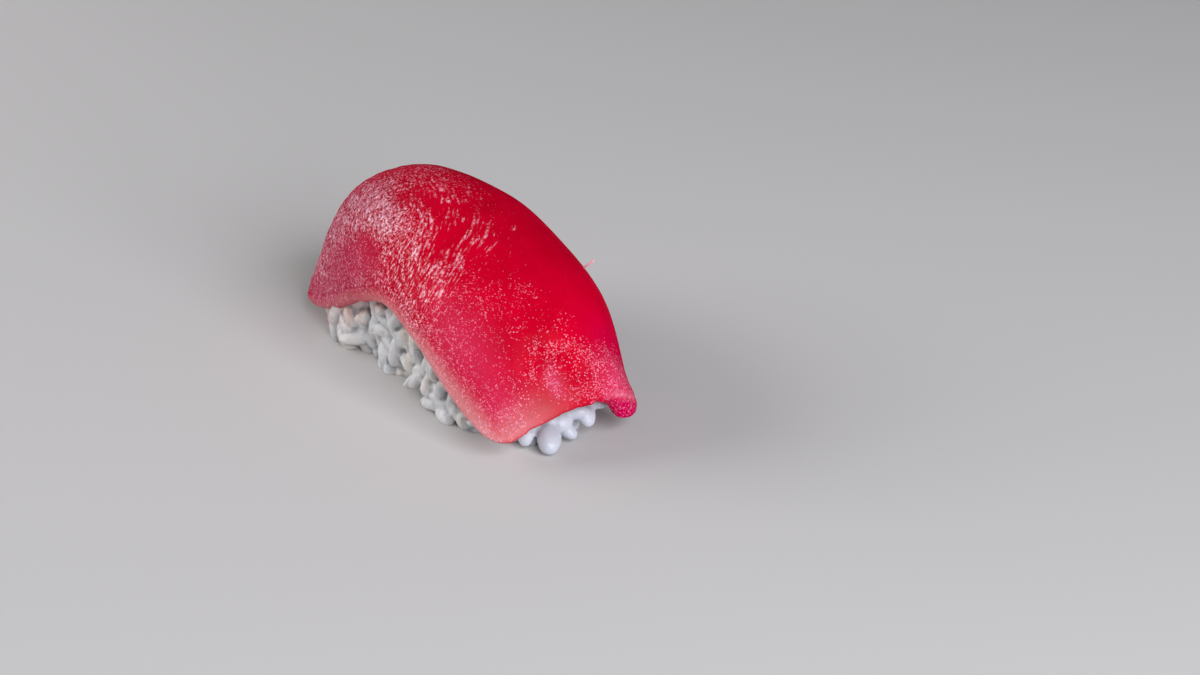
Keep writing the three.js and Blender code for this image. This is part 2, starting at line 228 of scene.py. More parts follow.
# The slice hangs on three rails, each a smooth curve from the far end to the near end. A place on
# it is given by s, from 0 at the far end to 1 at the near end, and t, from -1 left to 1 right.
tuna = {
    "leftRail": [(-36.5, -16.3, 0.8), (-23, -17.5, 6), (-10, -17.5, 12.5), (2, -17.5, 16.5),
                 (14, -17.5, 14), (26, -16.5, 8), (38, -14.2, 2.3)],
    "crestRail": [(-41, -5, 9), (-33.5, -3.5, 23.5), (-21, -2.5, 32), (-5, -1.5, 34),
                  (13, 0, 30.5), (29.5, 2, 23.5), (40, 4.5, 9.5)],
    "rightRail": [(-32.5, 13.5, 4.5), (-21, 15.5, 8.5), (-9, 17.2, 12), (3, 17.8, 14),
                  (15, 17.8, 13), (26, 15.7, 8.5), (33.3, 14, 4)],
    "turnMiddle": 92,  # degrees that a cross-section turns from crest to edge
    "turnEnd": 70,
    "turnPower": 1.5,  # how late towards the ends the turn changes
    "length": 90,  # over the slice, from end to end
    "halfWidth": 27,  # over the slice, from crest to edge
    "thickMiddle": 5.5,
    "thickEdge": 3,
    "edgeRound": 1.6,  # how far in from a cut edge its rounding reaches
    "topShare": 0.35,  # share of an edge's rounding on the upper face
    "raggedness": 0.17,  # how far the cut edge strays in and out
    "raggedSize": 1.7,
    "raggedFiner": (2.7, 5),  # how much smaller and lower its finer waves are
    "lipAlong": 0.9,  # where the near right corner starts to flare out
    "lipAcross": (0.0, 0.65),
    "lipPush": (0.9, 0.6, 0.5),  # how far the lip's face moves
    "lipDrop": (2.4, -0.6, -2.9),  # how much further its underside moves
    "lipSide": (0.2, 3.9, 0.3),  # and its underside's corner
    "lipSideFrom": 0.45,  # where across the slice that starts
    "lipThicker": 0.8,
    "lipRounding": 0.55,  # share of the other corners' rounding at the lip's
    "lipTipLift": 0.3,  # share of the drop that the lip's tip lacks
    "lipTipFrom": 0.7,
    "cornerPull": (0.055, 0.09),  # how far the other corners are rounded off, along and across
    "cornerPower": (10, 14),  # how late that starts
    # swellings (+) and hollows (-): along, across, reach along, reach across, height
    "swellings": [(0.8, 0.5, 0.1, 0.3, 1.1), (0.955, 0.3, 0.035, 0.22, 0.9),
                  (0.92, -0.3, 0.05, 0.1, -0.7), (0.94, -0.08, 0.025, 0.1, -0.4),
                  (0.3, -0.55, 0.1, 0.22, 0.5)],
    # shallower ones, on the upper face alone
    "creases": [(0.905, -0.26, 0.013, 0.14, -0.4), (0.93, -0.2, 0.016, 0.16, 0.3),
                (0.95, -0.06, 0.014, 0.06, -0.3), (0.975, 0.05, 0.02, 0.3, 0.25),
                (0.87, -0.1, 0.02, 0.12, 0.2), (0.45, -0.32, 0.03, 0.05, -0.15),
                (0.62, -0.32, 0.015, 0.16, -0.25), (0.42, -0.72, 0.03, 0.08, -0.25)],
    "stepsAlong": 288,
    "stepsAcross": 160,
    "unevenness": 0.28,  # height of the broad waves left by the knife and the hand
    "waveSize": (13, 9),
    "knobHeight": 0.1,  # height of the small knobs
    "knobSize": 1.3,
    "knobsFar": (0.25, 0.6),  # where along the slice the far end's knobs fade out
    "knobsCrest": (0.0, 0.5),  # and where across it
    "knobsNear": (0.93, 0.99),  # where the near end's start
    "fibreHeight": 0.08,  # height of the muscle fibres' ridges
    "fibreWidth": 1.1,
    "fibreLength": 4.0,
    "fibreCentre": (41, -17),  # along and across the slice, what the fibres' arcs run round
    "fibreRadius": 14,  # the arc whose length measures the way along all fibres
    "fibreCore": 0.3,  # share of that radius inside which the measure levels off
    "grainHeight": 0.04,  # height of the fine wet grain
    "grainSize": 0.9,
    # where the wet grain catches the light, raised as relief and its beads painted as highlights, given like
    # the swellings but with a share as the last. A minus share is a smooth patch
    "grainSpots": [
        (0.43, -0.48, 0.16, 0.24, 0.88), (0.12, -0.6, 0.2, 0.4, 0.75), (0.33, -0.2, 0.15, 0.35, 0.22),
        (0.45, 0.0, 0.14, 0.25, 0.42), (0.45, -0.88, 0.2, 0.12, 0.5), (0.65, -0.82, 0.12, 0.12, 0.5),
        (0.5, -0.5, 0.06, 0.14, 0.2), (0.12, 0.75, 0.1, 0.3, 0.35), (0.4, 0.95, 0.25, 0.12, 0.35),
        (0.42, -0.72, 0.035, 0.08, -0.8), (0.47, -0.31, 0.025, 0.04, -0.35),
        (0.53, -0.2, 0.04, 0.04, -0.35), (0.62, -0.32, 0.015, 0.14, -0.4),
        (0.27, -0.8, 0.1, 0.1, -0.3), (0.2, -0.78, 0.12, 0.2, 0.12), (0.34, 0.0, 0.06, 0.12, -0.15),
    ],
    # where fine specks show, raised a little and painted as highlights
    "speckSpots": [
        (0.1, -0.9, 0.3, 0.3, 0.7), (0.27, -0.74, 0.14, 0.2, 0.45), (0.75, -0.92, 0.22, 0.22, 0.85),
        (0.96, -0.85, 0.06, 0.3, 0.95), (0.877, -0.25, 0.011, 0.03, 0.6),
        (0.892, -0.29, 0.011, 0.03, 0.8), (0.908, -0.335, 0.012, 0.03, 0.8),
        (0.924, -0.375, 0.012, 0.04, 0.6), (0.9, -0.19, 0.012, 0.035, 0.7),
        (0.915, -0.225, 0.012, 0.035, 0.7), (0.935, -0.26, 0.014, 0.045, 0.9),
        (0.955, -0.29, 0.016, 0.06, 0.7), (0.901, -0.13, 0.013, 0.05, 0.7),
        (0.905, -0.03, 0.014, 0.06, 0.6), (0.917, 0.06, 0.015, 0.06, 0.6),
        (0.938, 0.12, 0.02, 0.06, 0.8), (0.957, 0.13, 0.016, 0.07, 0.7),
        (0.975, 0.02, 0.013, 0.1, 0.6), (0.98, -0.15, 0.014, 0.1, 0.5),
        (0.965, 0.3, 0.03, 0.15, 0.9), (0.93, 0.3, 0.02, 0.08, 0.5), (0.998, 0.2, 0.012, 0.25, 0.8),
        (0.945, -0.07, 0.018, 0.07, 0.2), (0.94, 0.0, 0.05, 0.28, 0.27),
        (0.79, -0.12, 0.02, 0.08, 0.3), (0.86, 0.0, 0.02, 0.12, 0.2), (0.82, -0.3, 0.1, 0.25, 0.18),
        (0.74, -0.5, 0.1, 0.25, 0.35), (0.93, -0.5, 0.03, 0.1, 0.25), (0.45, 0.05, 0.15, 0.2, 0.35),
        (0.94, 0.5, 0.05, 0.25, 0.7), (0.98, 0.7, 0.03, 0.3, 0.8), (1.0, 0.5, 0.025, 0.4, 0.9),
        (0.6, 0.95, 0.3, 0.15, 0.5), (0.06, 0.4, 0.06, 0.5, 0.5), (0.3, 0.75, 0.15, 0.2, 0.3),
        (0.893, -0.238, 0.008, 0.02, -0.4), (0.91, -0.277, 0.008, 0.02, -0.5),
        (0.924, -0.315, 0.01, 0.025, -0.4),
    ],
    # where the fibres show as strokes, raised as relief and painted as streaks of highlight
    "fibreSpots": [
        (0.6, -0.58, 0.1, 0.26, 0.5), (0.52, -0.42, 0.07, 0.2, 0.35), (0.69, -0.52, 0.045, 0.24, 0.35),
        (0.58, -0.38, 0.08, 0.2, 0.3), (0.66, -0.42, 0.05, 0.22, 0.2), (0.53, -0.08, 0.1, 0.2, 0.6),
        (0.65, -0.12, 0.04, 0.12, 0.45), (0.66, 0.12, 0.03, 0.05, 0.3), (0.5, -0.75, 0.15, 0.12, 0.4),
        (0.45, 0.8, 0.15, 0.15, 0.3), (0.62, -0.32, 0.015, 0.14, -0.7),
        (0.53, -0.2, 0.04, 0.04, -0.5), (0.42, -0.72, 0.035, 0.08, -0.6),
    ],
    "specksLeft": 0.15,  # share of specks everywhere left of the crest
    "specksLeftTo": (0, 0.4),  # where across the slice they end
    "cutDepth": (0.12, 0.3),  # depths between which the face turns into the cut face
    "cutGrainLoss": 0.8,  # share of the grain and fibres that the cut face lacks
    "cutSpeckLoss": 0.3,
}


# A cubic between each two places, its slope at a place half the step between the neighbours, and
# a straight line past both ends.
def railCurve(places, s):
    points = np.array(places, float)
    points = np.vstack([2 * points[0] - points[1], points, 2 * points[-1] - points[-2]])
    spans = len(places) - 1
    inside = np.clip(s, 0, 1)
    first = np.minimum((inside * spans).astype(int), spans - 1)
    u = (inside * spans - first)[..., None]
    before, start, stop, after = (points[first + k] for k in range(4))
    slopeIn = (stop - before) / 2
    slopeOut = (after - start) / 2
    curve = start + slopeIn * u
    curve += (3 * (stop - start) - 2 * slopeIn - slopeOut) * u ** 2
    curve += (2 * (start - stop) + slopeIn + slopeOut) * u ** 3
    slope = np.where((s < 0.5)[..., None], slopeIn, slopeOut)
    return curve + slope * ((s - inside) * spans)[..., None]


# How far a place has gone over to the lip: the square of its share of the way to the near end,
# times an S across the slice.
def lipShare(s, t):
    reached = np.clip((s - tuna["lipAlong"]) / (1 - tuna["lipAlong"]), 0, 1)
    return reached ** 2 * smoothStep(*tuna["lipAcross"], t)


# The slice's corners are rounded off, the lip's less: the ends come in by a high power of the way
# across, and the long edges by a high power of the way along.
def roundedCorners(s, t):
    u, v = 2 * s - 1, t
    kept = np.where((u > 0) & (v > 0), tuna["lipRounding"], 1)
    pullAlong, pullAcross = tuna["cornerPull"]
    powerAcross, powerAlong = tuna["cornerPower"]
    return (0.5 + 0.5 * u * (1 - kept * pullAlong * v ** powerAcross),
            v * (1 - kept * pullAcross * u ** powerAlong))


# The draped face: each cross-section runs from the crest to an edge on an elliptic arc, outward by
# the sine and downward by one minus the cosine of its turn.
def drape(s, t):
    s, t = roundedCorners(s, t)
    crest = railCurve(tuna["crestRail"], s)
    edge = np.where((t < 0)[..., None], railCurve(tuna["leftRail"], s), railCurve(tuna["rightRail"], s))
    ends = np.abs(2 * np.clip(s, 0, 1) - 1) ** tuna["turnPower"]
    turn = np.radians(tuna["turnMiddle"] + (tuna["turnEnd"] - tuna["turnMiddle"]) * ends)
    outward = np.sin(np.abs(t) * turn) / np.sin(turn)
    downward = (1 - np.cos(t * turn)) / (1 - np.cos(turn))
    place = crest + (edge - crest) * np.stack([downward, outward, downward], -1)
    return place + lipShare(s, t)[..., None] * np.array(tuna["lipPush"])


# The face's outward direction: the cross product of its slopes along and across.
def drapeNormal(s, t, step=0.004):
    along = drape(s + step, t) - drape(s - step, t)
    across = drape(s, t + step) - drape(s, t - step)
    return unit(np.cross(along, across))


# A sum of bells: each one's height times e to the minus squared distance over its reach.
def bells(s, t, places):
    total = np.zeros(np.broadcast(s, t).shape)
    for along, across, reachAlong, reachAcross, height in places:
        far = ((s - along) / reachAlong) ** 2 + ((t - across) / reachAcross) ** 2
        total += height * np.exp(-far)
    return total


# The same sum, held between 0 and 1.
def shareOf(spots, s, t):
    return np.clip(bells(s, t, tuna[spots]), 0, 1)


# The fibres' own coordinates: they run in arcs round one point, so the first is the distance from it,
# and the other two are the place on one arc at the same bearing, drawn in near the middle.
def fibreFlow(s, t):
    along = s * tuna["length"] - tuna["fibreCentre"][0]
    across = t * tuna["halfWidth"] - tuna["fibreCentre"][1]
    distance = np.hypot(along, across)
    onArc = tuna["fibreRadius"] / np.hypot(distance, tuna["fibreCore"] * tuna["fibreRadius"])
    return np.stack([distance, along * onArc, across * onArc], -1)


# The fine relief: broad waves, small knobs, fibres as noise stretched along their own arcs, and
# fine grain, each where it shows.
def fineRelief(s, t):
    flat = np.stack([s * tuna["length"], t * tuna["halfWidth"], 0 * s], -1)
    waves = softNoise(flat / [*tuna["waveSize"], 1], 3)
    knobs = softNoise(flat / tuna["knobSize"], 4)
    fibres = softNoise(fibreFlow(s, t) / [tuna["fibreWidth"], tuna["fibreLength"], tuna["fibreLength"]], 5)
    grain = softNoise(flat / tuna["grainSize"], 7)
    knobby = (1 - smoothStep(*tuna["knobsFar"], s)) * (1 - smoothStep(*tuna["knobsCrest"], t))
    knobby = knobby + smoothStep(*tuna["knobsNear"], s)
    return (tuna["unevenness"] * waves + tuna["knobHeight"] * knobs * knobby +
            tuna["fibreHeight"] * fibres * shareOf("fibreSpots", s, t) +
            tuna["grainHeight"] * grain * shareOf("grainSpots", s, t))


# How far the cut edge strays: noise, and finer and lower noise over it.
def raggedEdge(s, t):
    place = np.stack([s * tuna["length"], t * tuna["halfWidth"], 0 * s], -1) / tuna["raggedSize"]
    smaller, lower = tuna["raggedFiner"]
    return tuna["raggedness"] * (softNoise(place, 9) + softNoise(place * smaller, 10) / lower)


# Steps from 0 to 1 across a length: even turns round each cut edge, even steps between them.
def edgeSteps(count, length, rings):
    turns = np.linspace(0, math.pi / 2, rings + 1)
    ring = tuna["edgeRound"] * (1 - np.cos(turns)) / length
    middle = np.linspace(ring[-1], 1 - ring[-1], count - 2 * rings + 1)
    return np.concatenate([ring[:-1], middle, 1 - ring[:-1][::-1]])


# 0 at a cut edge, then a quarter circle up to 1 where its rounding ends.
def edgeRise(distance):
    u = 1 - np.clip(distance / tuna["edgeRound"], 0, 1)
    return np.sqrt(1 - u * u)


# The slice: the draped face raised by its relief, and its underside a thickness below, which
# close on each other at the rim of the cut edge. The thickness falls off by the fourth power of the
# way to an edge. The depth says how far down through the slice a place lies, from 0 on its face to
# 1 on its underside, and carries the lip's own moves. The underside takes half of the swellings,
# and neither the creases nor the fine relief.
def slicePlaces(along, across, rings=6, fine=True, grow=0):
    sIn, tIn = np.meshgrid(edgeSteps(along, tuna["length"], rings),
                           edgeSteps(across, 2 * tuna["halfWidth"], rings) * 2 - 1, indexing="ij")
    rise = edgeRise(np.minimum(sIn, 1 - sIn) * tuna["length"])
    rise = rise * edgeRise((1 - np.abs(tIn)) * tuna["halfWidth"])
    outward = grow + (raggedEdge(sIn, tIn) * (1 - rise) if fine else 0)
    s = sIn + (sIn - 0.5) * 2 * outward / tuna["length"]
    t = tIn * (1 + outward / tuna["halfWidth"])
    middle = (1 - (2 * sIn - 1) ** 4) * (1 - tIn ** 4)
    lip = lipShare(sIn, tIn)
    thick = tuna["thickEdge"] + tuna["lipThicker"] * lip
    thick = thick + (tuna["thickMiddle"] - tuna["thickEdge"]) * middle
    place = drape(s, t)
    normal = drapeNormal(s, t)
    relief = bells(sIn, tIn, tuna["swellings"])
    top = relief + (fineRelief(sIn, tIn) + bells(sIn, tIn, tuna["creases"]) if fine else 0)
    inside = rise > 0
    share = tuna["topShare"]
    upperDepth = share * (1 - rise)
    lowerDepth = share + (1 - share) * rise
    upper = top - thick * upperDepth + grow * inside
    lower = np.where(inside, relief / 2, top) - thick * lowerDepth - grow * inside
    drop = 1 - tuna["lipTipLift"] * smoothStep(tuna["lipTipFrom"], 1, tIn)
    lipMove = np.array(tuna["lipDrop"]) * drop[..., None]
    lipMove = lipMove + smoothStep(tuna["lipSideFrom"], 1, tIn)[..., None] * np.array(tuna["lipSide"])
    lipMove = lipMove * lip[..., None]
    return (sIn, tIn, place + normal * upper[..., None] + lipMove * upperDepth[..., None],
            place + normal * lower[..., None] + lipMove * lowerDepth[..., None], upperDepth, lowerDepth)


# Upper and lower grids as one closed skin: the lower grid's rim uses the upper grid's places.
def closedSlice(upper, lower):
    rows, columns = upper.shape[:2]
    count = rows * columns
    number = np.arange(count).reshape(rows, columns)
    under = number + count
    under[[0, -1], :] = number[[0, -1], :]
    under[:, [0, -1]] = number[:, [0, -1]]
    bottom = np.stack([under[:-1, :-1], under[:-1, 1:], under[1:, 1:], under[1:, :-1]], -1).reshape(-1, 4)
    places = np.concatenate([upper.reshape(-1, 3), lower.reshape(-1, 3)])
    faces = np.concatenate([gridFaces(rows, columns), bottom])
    kept, faces = np.unique(faces, return_inverse=True)
    return places[kept], faces.reshape(-1, 4), kept


fleshLook = {
    "deep": "#AC0016", "flesh": "#D8002E",
    # the dull rose is partly painted shade over the far end and crest; the magenta is the lip's own colour,
    # and painted shade on its cut face
    "edge": "#D68484", "rosy": "#DC4C7C", "dullRoseAndShade": "#A02A46", "magentaAndCutShade": "#C2004A",
    "blotch": 7.0,  # mm
    "beadGlint": "#F8BACC",  # painted highlight: the pale glint on a fibre's cut tip under its drop of moisture
    "beadStrength": 0.95,  # how much of the colour a bright bead makes its own
    "beadFrom": 0.76, "beadSpan": 0.42,  # a bead shows where its noise is above from - span * share
    "beadEdge": 0.18,  # noise over which its colour comes up
    "beadFoot": 0.45,  # noise over which its height comes up
    "beadLift": 0.3,  # its height where its colour starts
    "beadGate": 4.0,  # how fast heights come in as a share grows
    "beadHeight": 0.1,  # mm
    "valleyShade": "#6A0418",  # painted shade in the flesh between the beads, where little light comes out
    "valleyShadeStrength": 0.85,
    "valleyShadeFrom": 0.5, "valleyShadeSpan": 0.2,  # noise below which the painted shade darkens a hollow, and over what
    "gritSize": 0.44,  # mm from one bead to the hollow beside it
    # painted highlight of the fine specks
    "speckGlint": "#F488A4",
    "speckPitch": 0.29,  # mm from one speck to the next where they are dense
    "speckRadius": 0.66, "speckSoft": 0.5,  # shares of the pitch
    "speckWarp": 0.2,  # mm that a speck's outline strays
    "speckGrowth": 3.0,  # how fast a speck grows as the share passes its own draw
    "speckRise": 0.5,  # a speck's height against a bead's
    "lineSize": (0.48, 1.7),  # mm, across the fibres and along them
    "lineDepth": 0.55,  # how much fainter the grit is between the fibres
    "lineContrast": (6.0, -2.6),  # what the fibres' noise is multiplied by, and added to it
    "gritDepth": 0.95,  # how much fainter a fibre is between its beads
    "gritContrast": (7.0, -2.8),  # the same for the beads' noise
    "warp": 0.15,
    "clump": 2.6,  # mm
    "clumping": 0.45,
    "fibreClumping": 0.3,
    "light": 0.9,  # mm, the patches over which the painted highlights brighten and dim
    "dim": 0.15,  # share of the brightest bead's colour in the dimmest one
    "dryFilm": 0.02, "wetFilm": 0.9,  # the film's share off the beads, and how much more on them
}


# Raw tuna, sliced and wet: a deep translucent red flesh under a thin film of its own moisture.
# Light goes far into it and comes out red. The cut ends of its fibres stand up as fine wet beads which
# break the highlights up; their pale colour and the specks' are painted highlight, the dark between painted
# shade.
def makeTunaFlesh(look=fleshLook):
    material, tree = newMaterial("rawTunaFlesh")
    noise, mixed, maths, bumped = nodeMakers(tree)
    place = addNode(tree, "ShaderNodeTexCoord").outputs["Object"]
    shares = carriedValues(
        tree, ("pale", "rosy", "dullRoseAndShade", "magentaAndCutShade", "gritShare", "speckShare", "fibreShare"))
    flow = addNode(tree, "ShaderNodeAttribute", {"attribute_name": "alongFibres"}).outputs["Vector"]

    # A bead's painted highlight is (noise - from + span * share) / edge, held between 0 and 1. Its height is
    # the same over a wider foot, and only where there are beads at all.
    def beads(pattern, shown, share):
        over = maths("ADD", pattern, maths("MULTIPLY_ADD", shown, look["beadSpan"], -look["beadFrom"]))
        colour = maths("MULTIPLY", over, 1 / look["beadEdge"], clamp=True)
        height = maths("MULTIPLY_ADD", over, 1 / look["beadFoot"], look["beadLift"], clamp=True)
        return colour, maths("MULTIPLY", height, maths("MULTIPLY", share, look["beadGate"], clamp=True))

    # One round speck of painted highlight in each cell whose own draw is under the share: its radius goes
    # with the share less the draw, and it fades over its soft rim.
    def specks(share):
        pitch = look["speckPitch"] * mm
        strayed = addNode(tree, "ShaderNodeVectorMath", {"operation": "MULTIPLY_ADD"})
        tree.links.new(noise(place, pitch, 1.0, output="Color"), strayed.inputs[0])
        strayed.inputs[1].default_value = [look["speckWarp"] * mm] * 3
        tree.links.new(place, strayed.inputs[2])
        cells = addNode(tree, "ShaderNodeTexVoronoi", {"feature": "F1"}, {
            "Vector": strayed.outputs[0], "Scale": 1 / pitch, "Randomness": 1.0})
        draw = addNode(tree, "ShaderNodeSeparateColor", None, {"Color": cells.outputs["Color"]})
        over = maths("SUBTRACT", share, draw.outputs["Red"])
        over = maths("MULTIPLY", over, look["speckGrowth"], clamp=True)
        radius = maths("MULTIPLY_ADD", over, look["speckRadius"], -look["speckSoft"] / 2)
        inside = maths("SUBTRACT", radius, cells.outputs["Distance"])
        return maths("MULTIPLY_ADD", inside, 1 / look["speckSoft"], 0.5, clamp=True)

    # noise with more contrast, then 1 - depth * (1 - noise)
    def fainter(pattern, contrast, depth):
        pattern = maths("MULTIPLY_ADD", pattern, *contrast, clamp=True)
        return maths("MULTIPLY_ADD", pattern, depth, 1 - depth)

    colour = mixed(noise(place, look["blotch"] * mm, 3.0, 0.55), look["deep"], look["flesh"])
    for share, tint in (("rosy", "rosy"), ("magentaAndCutShade", "magentaAndCutShade"), ("dullRoseAndShade", "dullRoseAndShade"), ("pale", "edge")):
        colour = mixed(shares[share], colour, look[tint])

    # clumps crowd the beads: share * (1 + clumping * (2 * noise - 1))
    clump = noise(place, look["clump"] * mm, 2.0, 0.6)
    crowd = maths("MULTIPLY_ADD", clump, 2 * look["clumping"], 1 - look["clumping"])
    loose = maths("MULTIPLY_ADD", clump, 2 * look["fibreClumping"], 1 - look["fibreClumping"])
    stretched = addNode(tree, "ShaderNodeMapping", None, {
        "Vector": flow, "Scale": [1 / look["lineSize"][k] for k in (0, 1, 1)]})
    dots = noise(place, look["gritSize"] * mm, 1.0, 0.5, look["warp"])
    lines = noise(stretched.outputs["Vector"], 1.0, 1.0, 0.5, look["warp"])

    # painted shade: the flesh darkens in the hollows between the beads
    span = look["valleyShadeSpan"]
    valleyShade = maths("MULTIPLY_ADD", dots, -1 / span, look["valleyShadeFrom"] / span, clamp=True)
    shaded = maths("MULTIPLY", shares["gritShare"], look["valleyShadeStrength"])
    colour = mixed(maths("MULTIPLY", valleyShade, shaded, clamp=True), colour, look["valleyShade"])

    fibreShare, gritShare = shares["fibreShare"], shares["gritShare"]
    stroke, strokeHigh = beads(lines, maths("MULTIPLY", fibreShare, loose), fibreShare)
    grit, gritHigh = beads(dots, maths("MULTIPLY", gritShare, crowd), gritShare)
    stroke = maths("MULTIPLY", fainter(dots, look["gritContrast"], look["gritDepth"]), stroke)
    grit = maths("MULTIPLY", fainter(lines, look["lineContrast"], look["lineDepth"]), grit)
    beadGlint = maths("MAXIMUM", grit, stroke)
    speckGlint = specks(maths("MULTIPLY", shares["speckShare"], crowd))
    high = maths("MAXIMUM", gritHigh, strokeHigh)
    high = maths("MAXIMUM", maths("MULTIPLY", speckGlint, look["speckRise"]), high)

    # how bright a bead's painted highlight is: from dim to 1 as its noise goes from a third to two thirds
    dim = look["dim"]
    glintBrightness = noise(place, look["light"] * mm, 1.0)
    glintBrightness = maths("MULTIPLY_ADD", glintBrightness, 3 * (1 - dim), 2 * dim - 1, clamp=True)
    glintBrightness = maths("MULTIPLY", glintBrightness, look["beadStrength"])
    # painted highlights: the specks, pink and paler on the pale edge, then the beads
    speckGlintColour = mixed(shares["pale"], look["speckGlint"], look["beadGlint"])
    colour = mixed(maths("MULTIPLY", speckGlint, glintBrightness), colour, speckGlintColour)
    colour = mixed(maths("MULTIPLY", beadGlint, glintBrightness), colour, look["beadGlint"])
    bump = bumped(high, look["beadHeight"] * mm)
    wet = maths("MAXIMUM", beadGlint, speckGlint)
    addSurface(tree, {
        "Base Color": colour, "Roughness": 0.45, "IOR": 1.38, "Specular IOR Level": 0.0,
        "Subsurface Weight": 0.3, "Subsurface Radius": (1.0, 0.12, 0.1), "Subsurface Scale": 1.5 * mm,
        "Coat Weight": maths("MULTIPLY_ADD", wet, look["wetFilm"], look["dryFilm"], clamp=True),
        "Coat Roughness": 0.2, "Coat IOR": 1.5, "Normal": bump, "Coat Normal": bump})
    return material


# Where the flesh is tinted. A pair is the stretch over which a tint comes or goes: Along in shares
# of the length, Across from -1 to 1, Depth in shares of the thickness. Spots are given like the
# swellings.
tints = {
    "paleWidth": 1.2,  # mm, the left edge's pale band at the far end
    "paleWider": [(1.4, (0.35, 0.8)), (0.6, (0.75, 0.9))],  # mm more, and over what stretch
    "paleFade": (0.2, 2),  # widths of the band
    "paleFar": 0.45,  # strength at the far end
    "paleAlong": (0.3, 0.6),
    "corner": 0.7,  # strength at the near left corner
    "cornerReach": 7,  # mm in from the near edge
    "cornerAcross": (-0.8, -0.05),
    "cutDepth": (0.12, 0.26),
    "cutAlong": (0.9, 1),
    "cutPaleLoss": 0.6,  # painted shade: share of the pale that the near cut face lacks
    "rimDepth": 0.1,  # the painted highlight along the lip's ridge, a pale rim
    "rimReach": 0.07,
    "rimAcross": (0.0, 0.3),
    "rimAlong": (0.9, 0.97),
    "rimHighlightPale": 0.25,
    "rimHighlightRosy": 0.5,
    "rosySpots": [(0.952, -0.26, 0.025, 0.06, 0.4), (0.95, -0.7, 0.05, 0.2, 0.25),
                  (0.985, 0.3, 0.03, 0.3, 0.25), (0.955, 0.25, 0.04, 0.15, 0.15),
                  (0.8, -0.68, 0.12, 0.2, 0.3), (0.38, -0.8, 0.12, 0.12, 0.3),
                  (0.14, -0.88, 0.1, 0.12, 0.25)],
    # a duller rose on the far left flank, reaching over the far end as painted shade; its spots are painted
    # shade on the far crest
    "dullRoseAndShade": 0.85,
    "dullRoseAndShadeAlong": (0.2, 0.62),
    "dullRoseAndShadeAcross": (-0.5, 0.15),
    "farCrestShadeSpots": [(0.31, 0.02, 0.1, 0.18, 0.5)],
    "magentaFace": 0.6,  # strength off the cut face
    "magentaAlong": (0.8, 0.95),
    "magentaAcross": (-0.1, 0.5),
}


# The flesh's colour by place: pale along the left cut edge and at the near left corner, rosy where
# light comes through, a duller rose at the far left with painted shade over the far end and crest, and
# magenta on the lip, deepened on its cut face as painted shade, below a painted highlight along its rim.
def tunaTints(s, t, depth):
    def coming(name, x):
        return smoothStep(*tints[name], x)

    leftEdge = (1 + t) * tuna["halfWidth"]
    nearEdge = (1 - s) * tuna["length"]
    width = tints["paleWidth"] + sum(more * smoothStep(*along, s) for more, along in tints["paleWider"])
    far = tints["paleFar"]
    pale = (1 - coming("paleFade", leftEdge / width)) * (far + (1 - far) * coming("paleAlong", s))
    corner = (1 - smoothStep(0, tints["cornerReach"], nearEdge)) * (1 - coming("cornerAcross", t))
    cut = coming("cutDepth", depth)
    # a painted highlight, pale and rosy, along the lip's ridge
    rimHighlight = np.exp(-((depth - tints["rimDepth"]) / tints["rimReach"]) ** 2)
    rimHighlight = rimHighlight * coming("rimAcross", t) * coming("rimAlong", s)
    pale = np.maximum(pale, corner * tints["corner"])
    pale = pale * (1 - tints["cutPaleLoss"] * cut * coming("cutAlong", s)) + tints["rimHighlightPale"] * rimHighlight
    rosy = bells(s, t, tints["rosySpots"]) + tints["rimHighlightRosy"] * rimHighlight
    # a duller rose at the far left, and painted shade over the far end and far crest
    dullRoseAndShade = (1 - coming("dullRoseAndShadeAlong", s)) * (1 - coming("dullRoseAndShadeAcross", t)) * tints["dullRoseAndShade"]
    dullRoseAndShade = np.maximum(dullRoseAndShade, bells(s, t, tints["farCrestShadeSpots"]))
    # the lip's own magenta off the cut face; on the cut face the full magenta, as painted shade
    magentaAndCutShade = coming("magentaAlong", s) * coming("magentaAcross", t) * np.maximum(tints["magentaFace"], cut)
    return {"pale": np.clip(pale, 0, 1), "rosy": np.clip(rosy, 0, 1), "dullRoseAndShade": dullRoseAndShade,
            "magentaAndCutShade": magentaAndCutShade * (1 - rimHighlight)}


# The slice, with its tints and the shares of its grain, specks and fibres at every place.
def makeSlice(material):
    s, t, upper, lower, upperDepth, lowerDepth = slicePlaces(tuna["stepsAlong"], tuna["stepsAcross"])
    places, faces, kept = closedSlice(upper, lower)
    made = makeObject("tunaSlice", places, [faces], material)
    mesh = made.data
    s, t = (np.concatenate([grid.ravel(), grid.ravel()])[kept] for grid in (s, t))
    depth = np.concatenate([upperDepth.ravel(), lowerDepth.ravel()])[kept]
    cut = smoothStep(*tuna["cutDepth"], depth)
    shares = tunaTints(s, t, depth)
    left = 1 - tuna["cutGrainLoss"] * cut
    shares["gritShare"] = shareOf("grainSpots", s, t) * left
    shares["fibreShare"] = shareOf("fibreSpots", s, t) * left
    specks = tuna["specksLeft"] * (1 - smoothStep(*tuna["specksLeftTo"], t))
    specks = np.clip(specks + bells(s, t, tuna["speckSpots"]), 0, 1)
    shares["speckShare"] = specks * (1 - tuna["cutSpeckLoss"] * cut)
    for name, values in shares.items():
        addPointValues(mesh, name, values)
    layer = mesh.attributes.new("alongFibres", "FLOAT_VECTOR", "POINT")
    layer.data.foreach_set("vector", fibreFlow(s, t).astype(np.float32).ravel())
    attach(made, "root")
    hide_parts("tuna_slice")
    print("slice made:", len(mesh.polygons), "faces")


